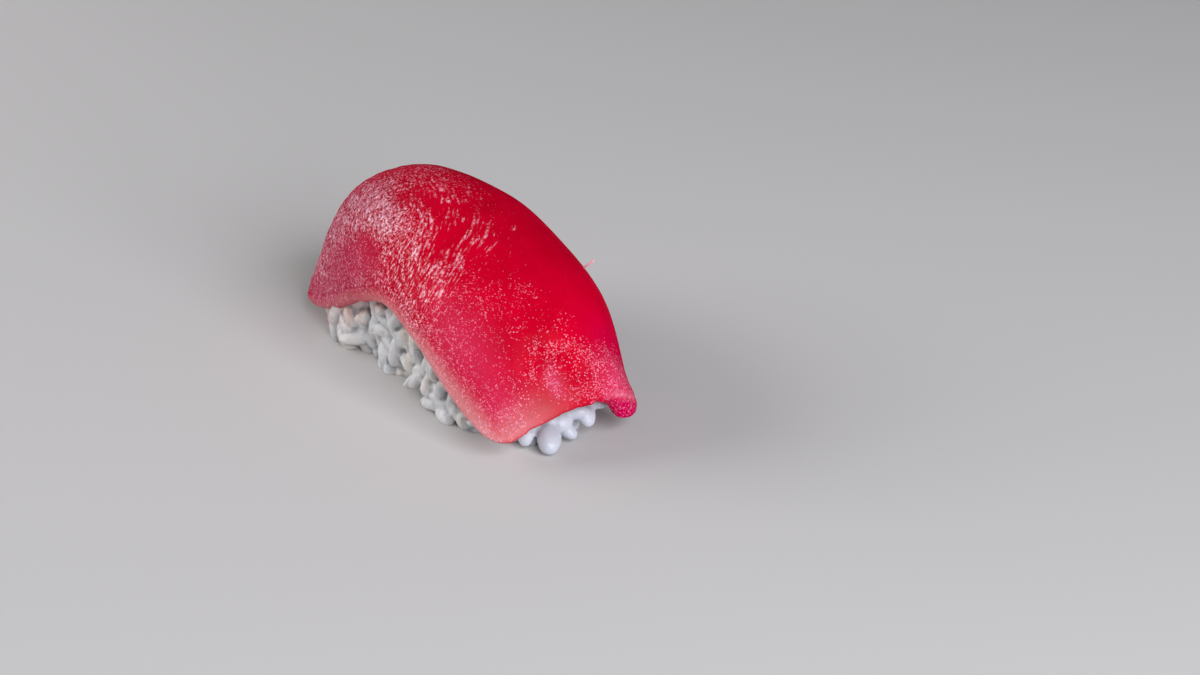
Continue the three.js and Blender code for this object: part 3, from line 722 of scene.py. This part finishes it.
# One torn sinew that stands up from the slice's right flank, with a small bead on its tip.
sinew = {
    "along": 0.72,
    "across": 0.53,
    "root": 0.9,  # how deep it starts in the flesh
    "reach": 2.7,  # from its root outward
    "lean": (0.5, 0.3, 0.5),  # where its tip leans to
    "arch": 0.45,
    "width": 0.34,
    "tipBead": 0.5,  # how much wider it is at its tip
    "beadAt": 0.9,  # share of its length
    "beadReach": 0.1,
    "tipPower": 10,  # how bluntly its tip closes
    "rootColour": "#C83C58",
    "tipColour": "#FFB4BE",
}


# Sinew: white connective tissue, pale pink where it is thin, wet and soft.
def makeSinewSkin():
    material, tree = newMaterial("paleSinew")
    _, mixed, _, _ = nodeMakers(tree)
    share = carriedValues(tree, ["towardsTip"])["towardsTip"]
    addSurface(tree, {
        "Base Color": mixed(share, sinew["rootColour"], sinew["tipColour"]), "Roughness": 0.35,
        "IOR": 1.4, "Subsurface Weight": 0.4, "Subsurface Radius": (1.0, 0.4, 0.35),
        "Subsurface Scale": 0.5 * mm, "Coat Weight": 0.6, "Coat Roughness": 0.1, "Coat IOR": 1.33})
    return material


# A round profile carried along the sinew's path: outward by its reach, leaning by the square of the
# way and arched by the way times what is left. Its width swells by a bell at the tip and closes as
# the root of one minus a high power of the way.
def makeSinew(material, around=12, along=24):
    way = np.linspace(0, 1, along + 1)
    s, t = np.array(sinew["along"]), np.array(sinew["across"])
    outward = drapeNormal(s, t)
    base = drape(s, t) + outward * bells(s, t, tuna["swellings"])
    path = base + outward * (sinew["reach"] * way - sinew["root"])[:, None]
    path = path + np.array(sinew["lean"]) * (way ** 2)[:, None]
    path = path + np.array([0, 0, 1.0]) * (sinew["arch"] * way * (1 - way))[:, None]
    forward = unit(np.gradient(path, axis=0))
    side = unit(np.cross(forward, [1.0, 0, 0]))
    up = np.cross(forward, side)
    swell = np.exp(-((way - sinew["beadAt"]) / sinew["beadReach"]) ** 2)
    radius = sinew["width"] / 2 * (1 + sinew["tipBead"] * swell)
    radius = radius * np.sqrt(1 - np.minimum(way, 0.999) ** sinew["tipPower"])
    angle = evenTurns(around)
    ring = side[:, None] * np.cos(angle)[None, :, None] + up[:, None] * np.sin(angle)[None, :, None]
    rings = path[:-1, None] + ring[:-1] * radius[:-1, None, None]
    places = np.vstack([rings.reshape(-1, 3), path[:1], path[-1:]])
    made = makeObject("sinewFibre", places, tubeFaces(along, around, turned=True), material)
    addPointValues(made.data, "towardsTip", np.concatenate([np.repeat(way[:-1], around), way[[0, -1]]]))
    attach(made, "root")
    print("sinew made:", len(made.data.polygons), "faces")


rice = {
    "centre": (0, -0.5),
    "halfLength": 31.5,
    "halfWidth": 12,
    "squareness": 4.5,
    "taper": 0.06,
    "endTurn": 6,  # how late the wall turns to face the ends
    # height, share of the foot's size
    "wall": [(0, 0.96), (1.6, 0.99), (5, 1), (11, 0.99), (18, 0.95), (25, 0.82), (30, 0.55)],
    # clumps: x, y, reach, how far out
    "clumps": [(-22, -13, 8, 3.6), (-17.5, -14, 2.5, 0.8), (-13, -13, 3, -1), (-7.5, -13, 2.5, 0.8),
               (14.5, -13, 4, 1.6), (31, 10, 6, -3), (31, -12, 6, -2.5), (-8, 12, 7, 1.2), (20, 11, 5, 0.8)],
    "coreInset": 2.0,
    "outline": 0.95,  # the foot's outline against that of the box round it
    "grainLength": 6.0,
    "grainWidth": 3.0,
    "grainDepth": 2.6,
    "grainRange": (0.85, 1.12),  # sizes against these
    "rows": 10,
    "firstRow": 1.0,
    "rowStep": 2.15,
    "pitch": 3.5,
    "layers": [(-1.0, 0.5), (-2.4, -1.2)],  # how far out of the wall each layer's grains reach
    "strayAlong": 0.3,  # of a pitch
    "strayUp": 0.7,
    "tilt": 1.4,  # radians
    "lean": 0.6,  # how far a grain points out of or into the wall
    "overEdge": 0.4,  # how far above the slice's edge a grain's middle may lie
    "voxel": 0.3,
    "smoothing": 1,
    "cutSteps": (70, 50, 3),  # steps along, across and round the edge of the cutting slice
    "cutGap": 0.05,
    "floorBlock": ((-60, -60, -20), (60, 60, 0)),
    "starchHeight": 0.09,  # height of the starchy lumps on the grains
    "starchSize": 0.75,
    "starchFrom": (0, 1),  # heights over which they come in
    "front": (27, 33),  # x over which the smooth near end comes in, bluish as a painted cast of the front light
    "frontSmoothness": 0.8,
    "creaseReach": 8,  # rounds of averaging that tell a crease from a ridge
    "creaseDepth": 0.22,  # how far below its surroundings a full crease lies
    "creaseShadeMost": 0.72,
    "farShade": 0.35,  # painted shade: how much of a crease's colour the far end has
    "farShadeTo": (-30, -14),
    "farShadeWhite": 0.3,  # painted shade: share of white grains there against the rest, which are greyer
    "farShadeWhiteTo": (-28, -12),
    "warmth": (-1.5, 0.6),  # a grain's draw, of which it keeps what is above 0
    "nearSlicePink": 0.55,  # how pink the rice is near the slice's edge
    "nearSlicePinkReach": (0.3, 5.5),
    "nearSlicePinkUnevenness": 0.4,
    "nearSlicePinkSize": 3,
    "frontNearSlicePinkLoss": 0.6,
}


# The block's wall: a superellipse foot, times the wall's share at that height, pushed out by its
# clumps. The angle says how far round the foot the place is.
def wallPlace(angle, height, out=0):
    angle, height, out = np.broadcast_arrays(angle, height, np.asarray(out, float))
    heights, shares = zip(*rice["wall"])
    share = np.interp(height, heights, shares)
    corner = lambda v: np.sign(v) * np.abs(v) ** (2 / rice["squareness"])
    alongShare = corner(np.cos(angle))
    x = rice["centre"][0] + alongShare * rice["halfLength"] * share
    wide = rice["halfWidth"] * (1 - rice["taper"] * alongShare)
    y = rice["centre"][1] + corner(np.sin(angle)) * wide * share
    for clumpX, clumpY, reach, push in rice["clumps"]:
        out = out + push * np.exp(-((x - clumpX) ** 2 + (y - clumpY) ** 2) / reach ** 2)
    away = unit(np.stack([np.sign(x) * np.abs(alongShare) ** rice["endTurn"], np.sin(angle)], -1))
    return np.stack([x + away[..., 0] * out, y + away[..., 1] * out, height], -1)


# The angle at which the foot's outline has run a given share of its length, measured 5 mm up.
def evenAngle(share, count=721, height=5.0):
    angles = np.linspace(0, 2 * math.pi, count)
    steps = np.linalg.norm(np.diff(wallPlace(angles, np.full(count, height)), axis=0), axis=1)
    reached = np.concatenate([[0], np.cumsum(steps)])
    return np.interp(share % 1, reached / reached[-1], angles)


grain = {
    "bluntness": 2.4,
    "taper": 0.06,
    "grooveAt": 1.2,  # radians round the grain
    "grooveReach": 0.5,
    "grooveDepth": 0.1,  # share of the radius
    "bend": 0.14,  # the same
}


# A grain of cooked rice along X: rings whose radius is the root of one minus the length's power,
# bent, and with a shallow groove on one side. Its two ends come after the rings.
def grainShape(around, along):
    v = -np.cos(np.linspace(0, math.pi, along + 1))[:, None]
    angle = evenTurns(around)[None, :]
    radius = np.sqrt(np.clip(1 - np.abs(v) ** grain["bluntness"], 0, 1)) * (1 + grain["taper"] * v)
    groove = 1 - grain["grooveDepth"] * np.exp(-((angle - grain["grooveAt"]) / grain["grooveReach"]) ** 2)
    y = radius * np.cos(angle) * groove
    z = radius * np.sin(angle) * groove + grain["bend"] * (1 - v ** 2)
    rings = np.stack([v + 0 * angle, y, z], -1)
    return np.vstack([rings[1:-1].reshape(-1, 3), [[-1, 0, 0], [1, 0, 0]]])


# Many grains at once: the one shape scaled, turned to each grain's own axes and moved to its place.
def grainMesh(centres, directions, sizes, rolls, around=12, along=8):
    shape = grainShape(around, along)
    forward = unit(directions)
    helper = np.where(np.abs(forward[:, 2:3]) > 0.9, [[1.0, 0, 0]], [[0, 0, 1.0]])
    side = unit(np.cross(helper, forward))
    up = np.cross(forward, side)
    turnedSide = side * np.cos(rolls)[:, None] + up * np.sin(rolls)[:, None]
    turnedUp = up * np.cos(rolls)[:, None] - side * np.sin(rolls)[:, None]
    axes = np.stack([forward, turnedSide, turnedUp], 1) * (sizes / 2)[:, :, None]
    places = np.einsum("vk,gkc->gvc", shape, axes) + centres[:, None, :]
    shift = (np.arange(len(centres)) * len(shape))[:, None, None]
    faces = [(part[None] + shift).reshape(-1, part.shape[1]) for part in tubeFaces(along - 1, around)]
    return places.reshape(-1, 3), faces


# Grains in rows round the wall, every other row set half a pitch on, each at its own tilt.
def wallGrains(step=0.05):
    random = np.random.default_rng(11)
    around = 4 * (rice["halfLength"] + rice["halfWidth"]) * rice["outline"]
    perRow = round(around / rice["pitch"])
    layer, row, place = (grid.ravel() for grid in np.meshgrid(
        np.arange(len(rice["layers"])), np.arange(rice["rows"]), np.arange(perRow), indexing="ij"))
    count = len(row)

    def stray(most):
        return random.uniform(-most, most, count)

    angle = evenAngle((place + (row + layer) % 2 / 2 + stray(rice["strayAlong"])) / perRow)
    height = rice["firstRow"] + row * rice["rowStep"] + stray(rice["strayUp"])
    inner, outer = np.array(rice["layers"])[layer].T
    centres = wallPlace(angle, height, random.uniform(inner, outer))
    ahead = unit(wallPlace(angle + step, height) - wallPlace(angle - step, height))
    outward = np.stack([ahead[:, 1], -ahead[:, 0], 0 * height], -1)
    tilt = stray(rice["tilt"])[:, None]
    directions = ahead * np.cos(tilt) + np.array([0, 0, 1.0]) * np.sin(tilt)
    directions += outward * stray(rice["lean"])[:, None]
    scale = random.uniform(*rice["grainRange"], (count, 3))
    sizes = np.array([rice["grainLength"], rice["grainWidth"], rice["grainDepth"]]) * scale
    return centres, directions, sizes, random.uniform(0, 2 * math.pi, count)


# Grains that stand clear of the block at the near end: place, turn round Z and dip in degrees,
# length and width against the others.
nearGrains = {
    "places": [(35.4, -2.8, 2.3), (33.3, 1, 2.2), (33.4, 5.2, 4.4), (32.6, -5.6, 3.2), (33.2, 2.4, 4.8),
               (33.0, 0.6, 4.2), (32.4, -1.4, 4.9), (32.0, -3.6, 4.4), (33.5, 7.0, 5.5)],
    "turns": [-29, 18, -16, -40, 62, -10, 0, -20, 60],
    "dips": [18, 14, 28, 45, -5, 40, 30, 40, 0],
    "longer": [1.23, 1.0, 1.06, 1.0, 1.12, 0.95, 1.0, 0.95, 0.7],
    "wider": [1.39, 1.0, 1.06, 1.0, 1.12, 1.3, 1.2, 1.1, 0.8],
}


# Each near grain's direction goes with its turn and dip, and its size with its two shares.
def standingGrains():
    turns = np.radians(nearGrains["turns"])
    dips = np.radians(nearGrains["dips"])
    directions = np.stack([np.cos(turns) * np.cos(dips), np.sin(turns) * np.cos(dips), -np.sin(dips)], -1)
    longer, wider = np.array(nearGrains["longer"]), np.array(nearGrains["wider"])
    sizes = np.stack([rice["grainLength"] * longer, rice["grainWidth"] * wider,
                      rice["grainDepth"] * wider], -1)
    return np.array(nearGrains["places"], float), directions, sizes, np.zeros(len(turns))


# The block inside the grains: rings of the wall, drawn in, with both ends closed.
def coreMesh(around=72):
    heights = np.array([h for h, _ in rice["wall"]], float)
    rings = wallPlace(evenTurns(around)[None, :], heights[:, None], -rice["coreInset"])
    ends = np.array([[*rice["centre"], 0], [*rice["centre"], heights[-1]]], float)
    return np.vstack([rings.reshape(-1, 3), ends]), tubeFaces(len(heights), around, turned=True)


# A box from its lowest corner to its highest.
def boxMesh(low, high):
    corners = np.array(list(itertools.product(*zip(low, high))), float)
    faces = np.array([[0, 1, 3, 2], [4, 6, 7, 5], [0, 4, 5, 1], [2, 3, 7, 6], [0, 2, 6, 4], [1, 5, 7, 3]])
    return corners, [faces]


riceLook = {
    # the front colour is a painted bluish cast of the cool front light on the near end
    "white": "#E2E2E1", "grey": "#CACCCD", "warm": "#D8C9BA", "front": "#C0C4CC",
    # the crease colour is painted shade in the creases between the grains
    "nearSlicePink": "#DDA596", "creaseShade": "#9A9C9F",
    "grit": 0.3,  # mm, the starch on a grain
    "gritHeight": 0.18,  # mm
    "lustre": 1.3,  # mm, the patches where the starch is wet
    "lustreRange": (0.35, 0.6),  # noise over which such a patch comes in
    "frontFade": 1.4,  # grit and film fall by 1 / this at the near end
}


# Cooked short-grain rice, steamed and pressed: white, starchy, translucent grains, each a little
# different, darker in the creases between them as painted shade, and moist outside.
def makeCookedRice(look=riceLook):
    material, tree = newMaterial("cookedRice")
    noise, mixed, maths, bumped = nodeMakers(tree)
    place = addNode(tree, "ShaderNodeTexCoord").outputs["Object"]
    shares = carriedValues(tree, ("tint", "warmth", "front", "nearSlicePink", "creaseShade"))

    def ranged(value, low, high):
        return addNode(tree, "ShaderNodeMapRange", {"clamp": True}, {
            "Value": value, "From Min": low, "From Max": high}).outputs["Result"]

    colour = mixed(shares["tint"], look["grey"], look["white"])
    for share, tint in (("warmth", "warm"), ("front", "front"), ("nearSlicePink", "nearSlicePink"), ("creaseShade", "creaseShade")):
        colour = mixed(shares[share], colour, look[tint])
    behind = ranged(shares["front"], look["frontFade"], 0.0)
    rough = maths("MULTIPLY", noise(place, look["grit"] * mm, 2.0), behind)
    wet = ranged(noise(place, look["lustre"] * mm, 1.0), *look["lustreRange"])
    bump = bumped(rough, look["gritHeight"] * mm)
    addSurface(tree, {
        "Base Color": colour, "Roughness": 0.4, "IOR": 1.4,
        "Subsurface Weight": 0.5, "Subsurface Radius": (1.0, 0.9, 0.8), "Subsurface Scale": 0.8 * mm,
        "Coat Weight": maths("MULTIPLY", wet, behind), "Coat Roughness": 0.14, "Coat IOR": 1.4,
        "Normal": bump, "Coat Normal": bump})
    return material


# The slice's outline: its two long edges and its two ends.
def edgeLine(count=60):
    run = np.linspace(0, 1, count)
    return np.concatenate([drape(run, np.full(count, -1.0)), drape(run, np.full(count, 1.0)),
                           drape(np.ones(count), run * 2 - 1), drape(np.zeros(count), run * 2 - 1)])


# For each place, the distance to the nearest of some others and its number, in blocks to keep the
# arrays small.
def nearest(places, others, block=20000):
    distance, number = [], []
    for start in range(0, len(places), block):
        apart = ((places[start:start + block, None, :] - others[None, :, :]) ** 2).sum(-1)
        number.append(apart.argmin(1))
        distance.append(np.sqrt(apart.min(1)))
    return np.concatenate(distance), np.concatenate(number)


# How deep each vertex lies in a crease: the mean of its neighbours, taken over and over, less its own
# place, along its normal.
def creaseDepth(mesh, rounds):
    one, other = edgeEnds(mesh)
    towards, away = np.concatenate([one, other]), np.concatenate([other, one])
    count = np.maximum(np.bincount(towards, minlength=len(mesh.vertices)), 1)[:, None]
    places = vertexArray(mesh)
    mean = places
    for _ in range(rounds):
        total = [np.bincount(towards, mean[away, k], len(places)) for k in range(3)]
        mean = np.stack(total, -1) / count
    return ((mean - places) * vertexArray(mesh, "normal")).sum(-1)


# Leaves only the largest joined part: every place takes the lowest number among its neighbours and
# of the place that number names, over and over, until nothing changes.
def keepLargestPart(made):
    mesh = made.data
    one, other = edgeEnds(mesh)
    label = np.arange(len(mesh.vertices))
    while True:
        low = np.minimum(label[one], label[other])
        fresh = label.copy()
        np.minimum.at(fresh, one, low)
        np.minimum.at(fresh, other, low)
        fresh = fresh[fresh]
        if np.array_equal(fresh, label):
            break
        label = fresh
    kept = label == np.bincount(label).argmax()
    places = vertexArray(mesh)
    counts = np.empty(len(mesh.polygons), dtype=np.int32)
    corners = np.empty(len(mesh.loops), dtype=np.int32)
    mesh.polygons.foreach_get("loop_total", counts)
    mesh.loops.foreach_get("vertex_index", corners)
    number = np.cumsum(kept) - 1
    starts = np.concatenate([[0], np.cumsum(counts)[:-1]])
    faces = [number[corners[starts[counts == n][kept[corners[starts[counts == n]]]][:, None] + np.arange(n)]]
             for n in np.unique(counts)]
    fresh = bpy.data.meshes.new(made.name)
    fresh.from_pydata(places[kept].tolist(), [], [f for part in faces for f in part.tolist()])
    made.data = fresh
    bpy.data.meshes.remove(mesh)


# The grains and the core as one skin, cut flat underneath and clear of the slice.
def joinRice(grains, grainFaces):
    standing, standingFaces = grainMesh(*standingGrains(), around=24, along=16)
    core, coreFaces = coreMesh()
    allFaces = grainFaces + [f + len(grains) for f in standingFaces]
    allFaces += [f + len(grains) + len(standing) for f in coreFaces]
    made = makeObject("riceBlock", np.vstack([grains, standing, core]), allFaces)
    applyModifier(made, "REMESH", mode="VOXEL", voxel_size=rice["voxel"] * mm, adaptivity=0.0)
    applyModifier(made, "SMOOTH", factor=0.5, iterations=rice["smoothing"])
    _, _, upper, lower, _, _ = slicePlaces(*rice["cutSteps"], fine=False, grow=rice["cutGap"])
    cutPlaces, cutFaces, _ = closedSlice(upper, lower)
    for name, places, faces in (("sliceCut", cutPlaces, [cutFaces]),
                                ("floorCut", *boxMesh(*rice["floorBlock"]))):
        tool = makeObject(name, places, faces)
        applyModifier(made, "BOOLEAN", operation="DIFFERENCE", solver="MANIFOLD", object=tool)
        bpy.data.objects.remove(tool)
    keepLargestPart(made)
    return made


# The rice's colour by place: each grain's own tint and warmth, greyer at the far end as painted shade,
# the front's painted bluish cast, pink near the slice's edge, and painted shade in the creases between the
# grains.
def riceTints(mesh, places, front, grainPlaces, drawn, edges):
    random = np.random.default_rng(5)
    x = places[:, 0]
    # painted shade: darker in the creases between grains, and at the far end
    creaseShade = creaseDepth(mesh, rice["creaseReach"]) / mm / rice["creaseDepth"]
    creaseShade += rice["farShade"] * (1 - smoothStep(*rice["farShadeTo"], x))
    _, number = nearest(places, grainPlaces)
    # painted shade at the far end: fewer of its grains are white
    far = rice["farShadeWhite"]
    tint = random.uniform(0, 1, drawn)[number] * (far + (1 - far) * smoothStep(*rice["farShadeWhiteTo"], x))
    warmth = np.maximum(random.uniform(*rice["warmth"], drawn), 0)[number]
    toEdge, _ = nearest(places, edges)
    nearSlicePink = rice["nearSlicePink"] + rice["nearSlicePinkUnevenness"] * softNoise(places / rice["nearSlicePinkSize"], 22)
    nearSlicePink = nearSlicePink * (1 - smoothStep(*rice["nearSlicePinkReach"], toEdge))
    return {"creaseShade": np.clip(creaseShade, 0, rice["creaseShadeMost"]), "tint": tint,
            "warmth": warmth * (1 - front), "front": front,
            "nearSlicePink": nearSlicePink * (1 - rice["frontNearSlicePinkLoss"] * front)}


# The rice: wall grains up to the slice's edge, standing grains and core, with starch raised on them
# as noise along their normals.
def makeRice(material):
    centres, directions, sizes, rolls = wallGrains()
    edges = edgeLine()
    _, under = nearest(np.append(centres[:, :2], np.zeros((len(centres), 1)), 1), edges * [1, 1, 0])
    shown = centres[:, 2] < edges[under, 2] + rice["overEdge"]
    print("grains joined:", int(shown.sum()), "in the wall")
    made = joinRice(*grainMesh(centres[shown], directions[shown], sizes[shown], rolls[shown]))
    mesh = made.data
    mesh.materials.append(material)
    mesh.shade_smooth()
    places = vertexArray(mesh) / mm
    front = smoothStep(*rice["front"], places[:, 0])
    starch = softNoise(places / rice["starchSize"], 21) * rice["starchHeight"]
    starch *= smoothStep(*rice["starchFrom"], places[:, 2]) * (1 - rice["frontSmoothness"] * front)
    places += vertexArray(mesh, "normal") * starch[:, None]
    mesh.vertices.foreach_set("co", (places * mm).astype(np.float32).ravel())
    mesh.update()
    for name, values in riceTints(mesh, places, front, centres[shown], len(centres), edges).items():
        addPointValues(mesh, name, values)
    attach(made, "root")
    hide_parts("rice_block")
    print("rice made:", len(mesh.polygons), "faces")


studio = {
    "cameraPlace": (0.407292, -0.199212, 0.216974),  # metres
    "cameraBearing": (61, 25),  # azimuth and elevation in degrees
    "lens": 84,
    "sensor": 36,
    "aim": (0, 0, 0.015),  # metres, the middle of the piece
    "room": "#E8E8EA",
    "roomLight": 0.12,
    "floor": "#CFCDCA",
    "floorReach": 2500,
    # soft lights: name, azimuth and elevation, distance and width in metres, watts, colour
    "softboxes": [("backSoftbox", (-62, 20), 0.7, 0.3, 0.8, "#F6F0FF"),
                  ("leftSoftbox", (-35, 22), 0.8, 0.5, 3.6, "#FFFFFF"),
                  ("frontSoftbox", (90, 27), 0.9, 0.6, 10.5, "#F4F6FF")],
}


# The direction to a bearing: azimuth from -Y towards +X, elevation up.
def towards(azimuth, elevation):
    around, up = math.radians(azimuth), math.radians(elevation)
    return Vector((math.sin(around) * math.cos(up), -math.cos(around) * math.cos(up), math.sin(up)))


# A wide matt floor under the piece.
def makeFloor():
    material = bpy.data.materials.new("paleStudioFloor")
    material.use_nodes = True
    shader = material.node_tree.nodes["Principled BSDF"]
    shader.inputs["Base Color"].default_value = linearColour(studio["floor"])
    shader.inputs["Roughness"].default_value = 1.0
    shader.inputs["Specular IOR Level"].default_value = 0.0
    far = studio["floorReach"]
    floor = makeObject("floor", [(-far, -far, 0), (far, -far, 0), (far, far, 0), (-far, far, 0)],
                       [np.array([[0, 1, 2, 3]])], material)
    floor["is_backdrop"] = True


# An even room, three softboxes aimed at the middle of the piece, and the camera.
def makeStudio():
    scene = bpy.context.scene
    world = bpy.data.worlds.new("softRoom")
    world.use_nodes = True
    background = world.node_tree.nodes["Background"]
    background.inputs["Color"].default_value = linearColour(studio["room"])
    background.inputs["Strength"].default_value = studio["roomLight"]
    scene.world = world
    scene.view_settings.view_transform = "Standard"
    for name, bearing, distance, width, watts, colour in studio["softboxes"]:
        light = bpy.data.lights.new(name, "AREA")
        light.shape = "RECTANGLE"
        light.size, light.size_y = width, width
        light.energy = watts
        light.color = linearColour(colour)[:3]
        made = bpy.data.objects.new(name, light)
        made.location = Vector(studio["aim"]) + towards(*bearing) * distance
        made.rotation_euler = towards(*bearing).to_track_quat("Z", "Y").to_euler()
        scene.collection.objects.link(made)
    camera = bpy.data.objects.new("camera", bpy.data.cameras.new("camera"))
    camera.data.lens = studio["lens"]
    camera.data.sensor_width = studio["sensor"]
    camera.data.clip_start = 0.01
    camera.location = studio["cameraPlace"]
    camera.rotation_euler = (-towards(*studio["cameraBearing"])).to_track_quat("-Z", "Y").to_euler()
    scene.collection.objects.link(camera)
    scene.camera = camera


makeStudio()
makeFloor()
makeSlice(makeTunaFlesh())
makeSinew(makeSinewSkin())
makeRice(makeCookedRice())

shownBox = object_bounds()
({"cad": [list(corner) for corner in cadBox],
           "visual": [list(corner) for corner in shownBox]})
